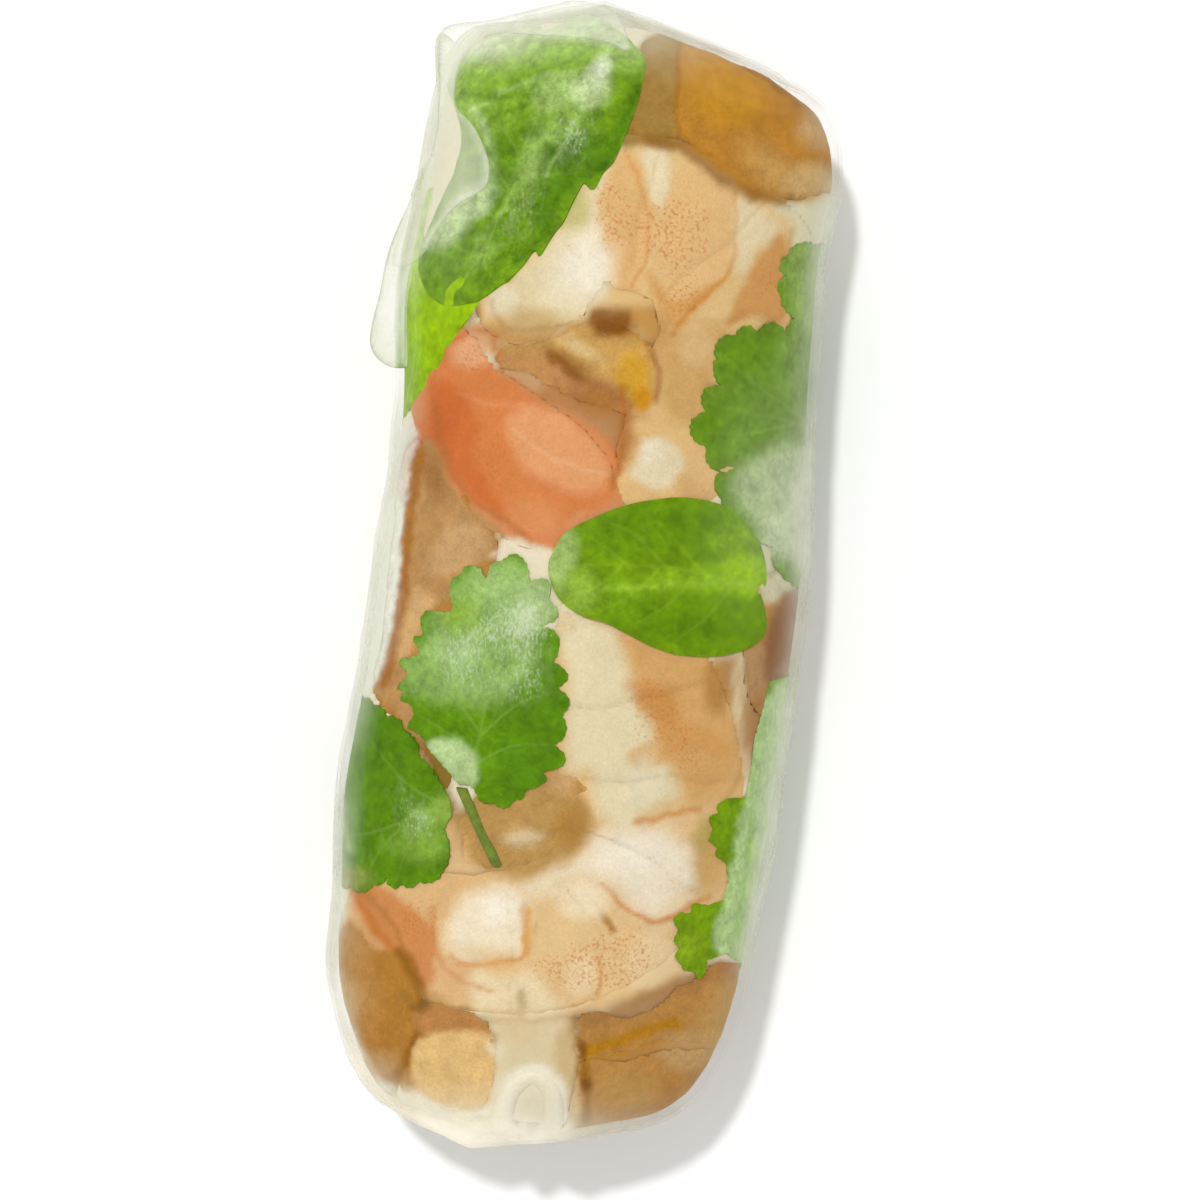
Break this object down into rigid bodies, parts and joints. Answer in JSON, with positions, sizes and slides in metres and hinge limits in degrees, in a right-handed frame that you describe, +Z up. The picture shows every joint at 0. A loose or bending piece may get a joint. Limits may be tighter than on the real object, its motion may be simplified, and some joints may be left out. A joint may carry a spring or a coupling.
{
  "type": "rice paper roll",
  "caption": "fresh rice paper roll with prawns, fried tofu, mint, basil and coriander over rice noodles, whole, seen through its translucent wrapper",
  "frame": {"origin": "centre of the roll's footprint, on the board it rests on", "axes": "+Y along the roll towards the end with the mint leaf, +X across it, +Z up"},
  "size_m": [0.0484, 0.1216, 0.034],
  "materials": {
    "rice_paper": "satin",
    "rice_noodle": "satin",
    "prawn": "satin",
    "fried_tofu": "matte",
    "mint": "satin",
    "basil": "satin",
    "coriander": "satin",
    "lettuce": "satin"
  },
  "bodies": {
    "root": {"wrapper": "rice_paper", "noodle_bundle": "rice_noodle", "prawn_top": "prawn", "prawn_middle": "prawn", "prawn_bottom": "prawn", "tofu_top": "fried_tofu", "tofu_left": "fried_tofu", "tofu_centre": "fried_tofu", "tofu_right": "fried_tofu", "tofu_inner": "fried_tofu", "tofu_lower_left": "fried_tofu", "tofu_end_left": "fried_tofu", "tofu_lower_right": "fried_tofu", "tofu_end_right": "fried_tofu", "mint_leaf": "mint", "basil_leaf": "basil", "coriander_sprig": "coriander", "coriander_right": "coriander", "lettuce_left": "lettuce", "lettuce_right": "lettuce"}
  },
  "joints": []
}
